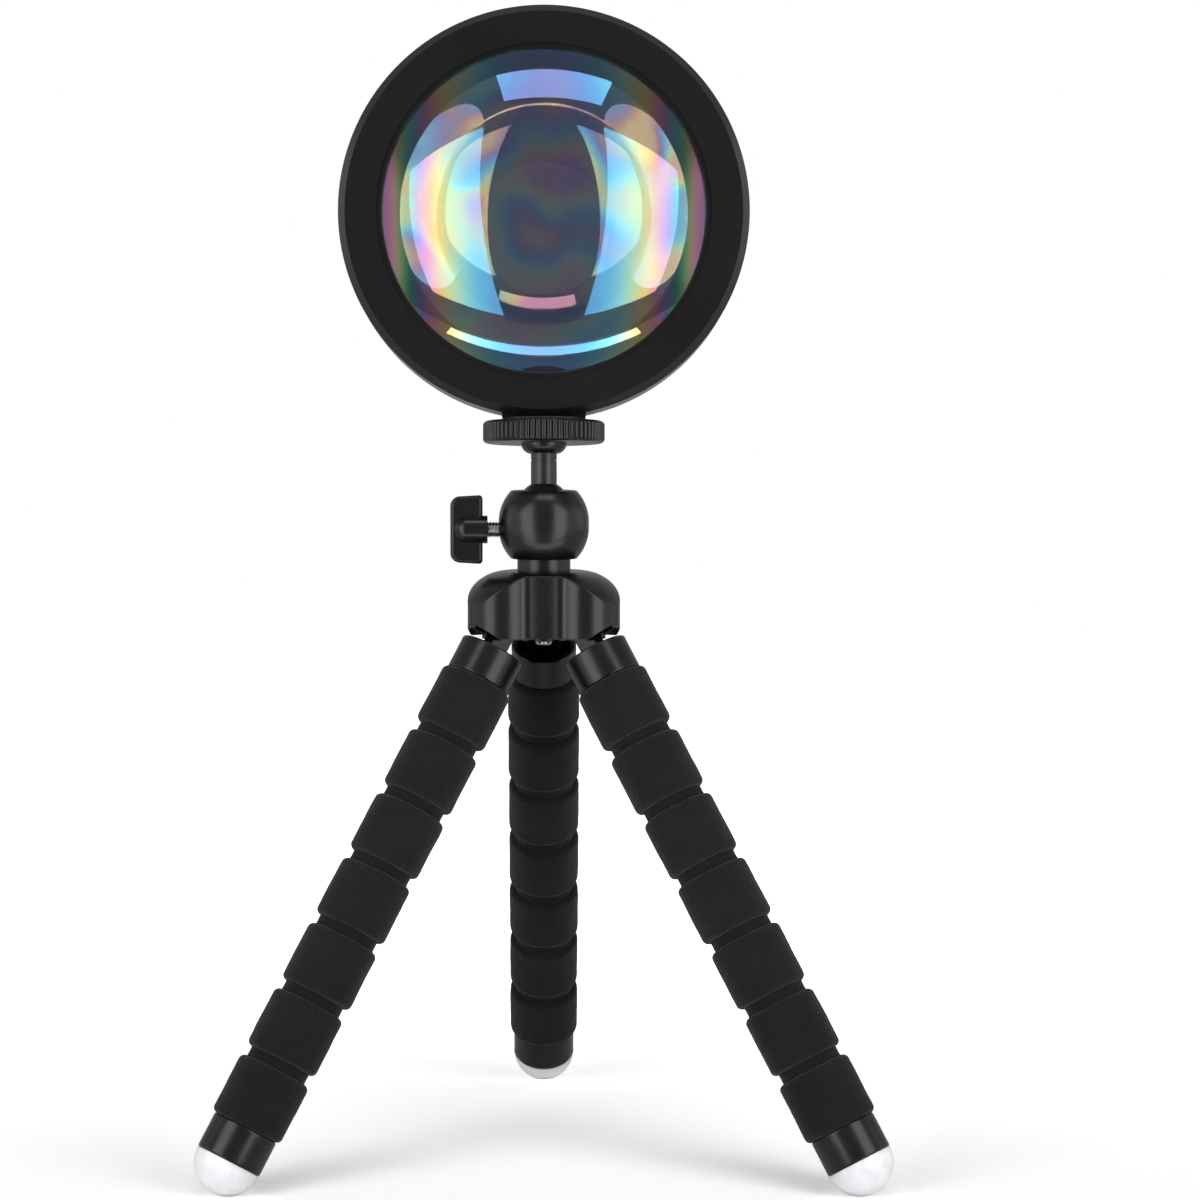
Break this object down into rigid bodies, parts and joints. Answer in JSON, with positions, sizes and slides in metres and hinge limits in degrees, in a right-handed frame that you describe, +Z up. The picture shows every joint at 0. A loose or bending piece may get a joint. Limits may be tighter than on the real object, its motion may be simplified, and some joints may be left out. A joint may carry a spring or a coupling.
{
  "type": "projection lamp",
  "caption": "Round projection lamp with a domed glass lens on a ball head and a tripod of bendable foam-covered legs.",
  "frame": {"origin": "on the floor below the middle of the tripod hub, between the three feet", "axes": "+Z up, +X to the right of a person who looks into the lens, +Y to the rear; the lens faces -Y"},
  "size_m": [0.1644, 0.1444, 0.2817],
  "materials": {
    "black_plastic": "satin black",
    "head_plastic": "matte black",
    "inner_plastic": "plain",
    "black_metal": "blackened",
    "steel": "bright",
    "black_rubber": "matte",
    "black_foam": "fine-pored foam",
    "foam_spine": "foam over a bendable rod",
    "clear_rubber": "milky and glossy",
    "lens_glass": "polished, coated",
    "filter_glass": "coated",
    "aluminium": "plain",
    "board": "board lacquer",
    "brass": "plain",
    "copper_lead": "insulation",
    "socket_metal": "plain"
  },
  "bodies": {
    "hub": {"hub_cap": "black_plastic", "hub_frame": "black_plastic", "hinge_pins": "steel", "centre_bolt": "steel", "ball_housing_lower": "black_plastic", "ball_housing_upper": "black_plastic"},
    "leg_left_top": {"leg_left_collar": "black_plastic", "leg_left_ring_1": "black_foam", "leg_left_spine": "foam_spine"},
    "leg_left_bead_2": {"leg_left_ring_2": "black_foam"},
    "leg_left_bead_3": {"leg_left_ring_3": "black_foam"},
    "leg_left_bead_4": {"leg_left_ring_4": "black_foam"},
    "leg_left_bead_5": {"leg_left_ring_5": "black_foam"},
    "leg_left_bead_6": {"leg_left_ring_6": "black_foam"},
    "leg_left_end": {"leg_left_ring_7": "black_foam", "leg_left_foot_collar": "black_plastic", "leg_left_foot_tip": "clear_rubber"},
    "leg_right_top": {"leg_right_collar": "black_plastic", "leg_right_ring_1": "black_foam", "leg_right_spine": "foam_spine"},
    "leg_right_bead_2": {"leg_right_ring_2": "black_foam"},
    "leg_right_bead_3": {"leg_right_ring_3": "black_foam"},
    "leg_right_bead_4": {"leg_right_ring_4": "black_foam"},
    "leg_right_bead_5": {"leg_right_ring_5": "black_foam"},
    "leg_right_bead_6": {"leg_right_ring_6": "black_foam"},
    "leg_right_end": {"leg_right_ring_7": "black_foam", "leg_right_foot_collar": "black_plastic", "leg_right_foot_tip": "clear_rubber"},
    "leg_rear_top": {"leg_rear_collar": "black_plastic", "leg_rear_ring_1": "black_foam", "leg_rear_spine": "foam_spine"},
    "leg_rear_bead_2": {"leg_rear_ring_2": "black_foam"},
    "leg_rear_bead_3": {"leg_rear_ring_3": "black_foam"},
    "leg_rear_bead_4": {"leg_rear_ring_4": "black_foam"},
    "leg_rear_bead_5": {"leg_rear_ring_5": "black_foam"},
    "leg_rear_bead_6": {"leg_rear_ring_6": "black_foam"},
    "leg_rear_end": {"leg_rear_ring_7": "black_foam", "leg_rear_foot_collar": "black_plastic", "leg_rear_foot_tip": "clear_rubber"},
    "ball_seat": {"ball_seat": "inner_plastic"},
    "ball": {"ball_stem": "black_metal"},
    "lock_pad": {"mount_pad": "black_rubber"},
    "lock_wheel": {"lock_wheel": "black_plastic"},
    "head": {"head_shell": "head_plastic", "mount_insert": "brass", "front_bezel": "head_plastic", "lens": "lens_glass", "lens_gasket": "black_rubber", "light_cone": "inner_plastic", "colour_filter": "filter_glass", "led_board": "board", "heat_sink": "aluminium", "inner_leads": "copper_lead", "driver_board": "board", "power_inlet": "socket_metal", "rear_cover": "head_plastic", "rear_cover_screws": "steel"},
    "clamp_shoe": {"brake_shoe": "inner_plastic"},
    "clamp": {"clamp_screw": "steel", "clamp_knob": "black_plastic"}
  },
  "joints": [
    {"name": "leg_left_fold", "type": "hinge", "parent": "hub", "child": "leg_left_top", "pos_m": [-0.00918, -0.0053, 0.13105], "axis": [0.5, -0.866, 0], "range_deg": [0, 31.3]},
    {"name": "leg_left_bend_1", "type": "hinge", "parent": "leg_left_top", "child": "leg_left_bead_2", "pos_m": [-0.02346, -0.01355, 0.10392], "axis": [-0.5, 0.866, 0], "range_deg": [0, 12], "deforming": ["leg_left_spine"]},
    {"name": "leg_left_bend_2", "type": "hinge", "parent": "leg_left_bead_2", "child": "leg_left_bead_3", "pos_m": [-0.03134, -0.01809, 0.08897], "axis": [-0.5, 0.866, 0], "range_deg": [0, 12]},
    {"name": "leg_left_bend_3", "type": "hinge", "parent": "leg_left_bead_3", "child": "leg_left_bead_4", "pos_m": [-0.03921, -0.02264, 0.07401], "axis": [-0.5, 0.866, 0], "range_deg": [0, 12]},
    {"name": "leg_left_bend_4", "type": "hinge", "parent": "leg_left_bead_4", "child": "leg_left_bead_5", "pos_m": [-0.04709, -0.02718, 0.05906], "axis": [-0.5, 0.866, 0], "range_deg": [0, 12]},
    {"name": "leg_left_bend_5", "type": "hinge", "parent": "leg_left_bead_5", "child": "leg_left_bead_6", "pos_m": [-0.05496, -0.03173, 0.04411], "axis": [-0.5, 0.866, 0], "range_deg": [0, 12]},
    {"name": "leg_left_bend_6", "type": "hinge", "parent": "leg_left_bead_6", "child": "leg_left_end", "pos_m": [-0.06283, -0.03628, 0.02915], "axis": [-0.5, 0.866, 0], "range_deg": [0, 12]},
    {"name": "leg_right_fold", "type": "hinge", "parent": "hub", "child": "leg_right_top", "pos_m": [0.00918, -0.0053, 0.13105], "axis": [0.5, 0.866, 0], "range_deg": [0, 31.3]},
    {"name": "leg_right_bend_1", "type": "hinge", "parent": "leg_right_top", "child": "leg_right_bead_2", "pos_m": [0.02346, -0.01355, 0.10392], "axis": [-0.5, -0.866, 0], "range_deg": [0, 12], "deforming": ["leg_right_spine"]},
    {"name": "leg_right_bend_2", "type": "hinge", "parent": "leg_right_bead_2", "child": "leg_right_bead_3", "pos_m": [0.03134, -0.01809, 0.08897], "axis": [-0.5, -0.866, 0], "range_deg": [0, 12]},
    {"name": "leg_right_bend_3", "type": "hinge", "parent": "leg_right_bead_3", "child": "leg_right_bead_4", "pos_m": [0.03921, -0.02264, 0.07401], "axis": [-0.5, -0.866, 0], "range_deg": [0, 12]},
    {"name": "leg_right_bend_4", "type": "hinge", "parent": "leg_right_bead_4", "child": "leg_right_bead_5", "pos_m": [0.04709, -0.02718, 0.05906], "axis": [-0.5, -0.866, 0], "range_deg": [0, 12]},
    {"name": "leg_right_bend_5", "type": "hinge", "parent": "leg_right_bead_5", "child": "leg_right_bead_6", "pos_m": [0.05496, -0.03173, 0.04411], "axis": [-0.5, -0.866, 0], "range_deg": [0, 12]},
    {"name": "leg_right_bend_6", "type": "hinge", "parent": "leg_right_bead_6", "child": "leg_right_end", "pos_m": [0.06283, -0.03628, 0.02915], "axis": [-0.5, -0.866, 0], "range_deg": [0, 12]},
    {"name": "leg_rear_fold", "type": "hinge", "parent": "hub", "child": "leg_rear_top", "pos_m": [0, 0.0106, 0.13105], "axis": [-1, 0, 0], "range_deg": [0, 31.3]},
    {"name": "leg_rear_bend_1", "type": "hinge", "parent": "leg_rear_top", "child": "leg_rear_bead_2", "pos_m": [0, 0.02709, 0.10392], "axis": [1, 0, 0], "range_deg": [0, 12], "deforming": ["leg_rear_spine"]},
    {"name": "leg_rear_bend_2", "type": "hinge", "parent": "leg_rear_bead_2", "child": "leg_rear_bead_3", "pos_m": [0, 0.03619, 0.08897], "axis": [1, 0, 0], "range_deg": [0, 12]},
    {"name": "leg_rear_bend_3", "type": "hinge", "parent": "leg_rear_bead_3", "child": "leg_rear_bead_4", "pos_m": [0, 0.04528, 0.07401], "axis": [1, 0, 0], "range_deg": [0, 12]},
    {"name": "leg_rear_bend_4", "type": "hinge", "parent": "leg_rear_bead_4", "child": "leg_rear_bead_5", "pos_m": [0, 0.05437, 0.05906], "axis": [1, 0, 0], "range_deg": [0, 12]},
    {"name": "leg_rear_bend_5", "type": "hinge", "parent": "leg_rear_bead_5", "child": "leg_rear_bead_6", "pos_m": [0, 0.06346, 0.04411], "axis": [1, 0, 0], "range_deg": [0, 12]},
    {"name": "leg_rear_bend_6", "type": "hinge", "parent": "leg_rear_bead_6", "child": "leg_rear_end", "pos_m": [0, 0.07255, 0.02915], "axis": [1, 0, 0], "range_deg": [0, 12]},
    {"name": "ball_pan", "type": "hinge", "parent": "hub", "child": "ball_seat", "pos_m": [0, 0, 0.15965], "axis": [0, 0, 1], "continuous": true},
    {"name": "ball_tilt", "type": "hinge", "parent": "ball_seat", "child": "ball", "pos_m": [0, 0, 0.15965], "axis": [1, 0, 0], "range_deg": [-16, 24]},
    {"name": "head_turn", "type": "hinge", "parent": "ball", "child": "head", "pos_m": [0, 0.0016, 0.18144], "axis": [0, 0.0732, 0.9973], "range_deg": [-175, 175]},
    {"name": "lock_pad_slide", "type": "slide", "parent": "ball", "child": "lock_pad", "axis": [0, -0.0732, -0.9973], "range_m": [0, 0.0003175]},
    {"name": "lock_wheel_turn", "type": "hinge", "parent": "lock_pad", "child": "lock_wheel", "pos_m": [0, 0.00155, 0.18069], "axis": [0, -0.0732, -0.9973], "range_deg": [0, 90.1]},
    {"name": "clamp_shoe_slide", "type": "slide", "parent": "hub", "child": "clamp_shoe", "axis": [-1, 0, 0], "range_m": [0, 0.00105]},
    {"name": "clamp_turn", "type": "hinge", "parent": "clamp_shoe", "child": "clamp", "pos_m": [-0.0138, 0, 0.15425], "axis": [-1, 0, 0], "range_deg": [0, 540.1]}
  ],
  "couplings": [
    {"joint": "leg_left_bend_2", "follows": "leg_left_bend_1", "ratio": 1},
    {"joint": "leg_left_bend_3", "follows": "leg_left_bend_1", "ratio": 1},
    {"joint": "leg_left_bend_4", "follows": "leg_left_bend_1", "ratio": 1},
    {"joint": "leg_left_bend_5", "follows": "leg_left_bend_1", "ratio": 1},
    {"joint": "leg_left_bend_6", "follows": "leg_left_bend_1", "ratio": 1},
    {"joint": "leg_right_bend_2", "follows": "leg_right_bend_1", "ratio": 1},
    {"joint": "leg_right_bend_3", "follows": "leg_right_bend_1", "ratio": 1},
    {"joint": "leg_right_bend_4", "follows": "leg_right_bend_1", "ratio": 1},
    {"joint": "leg_right_bend_5", "follows": "leg_right_bend_1", "ratio": 1},
    {"joint": "leg_right_bend_6", "follows": "leg_right_bend_1", "ratio": 1},
    {"joint": "leg_rear_bend_2", "follows": "leg_rear_bend_1", "ratio": 1},
    {"joint": "leg_rear_bend_3", "follows": "leg_rear_bend_1", "ratio": 1},
    {"joint": "leg_rear_bend_4", "follows": "leg_rear_bend_1", "ratio": 1},
    {"joint": "leg_rear_bend_5", "follows": "leg_rear_bend_1", "ratio": 1},
    {"joint": "leg_rear_bend_6", "follows": "leg_rear_bend_1", "ratio": 1},
    {"joint": "lock_wheel_turn", "follows": "lock_pad_slide", "rad_per_m": 4947.4},
    {"joint": "clamp_turn", "follows": "clamp_shoe_slide", "rad_per_m": 8976}
  ]
}
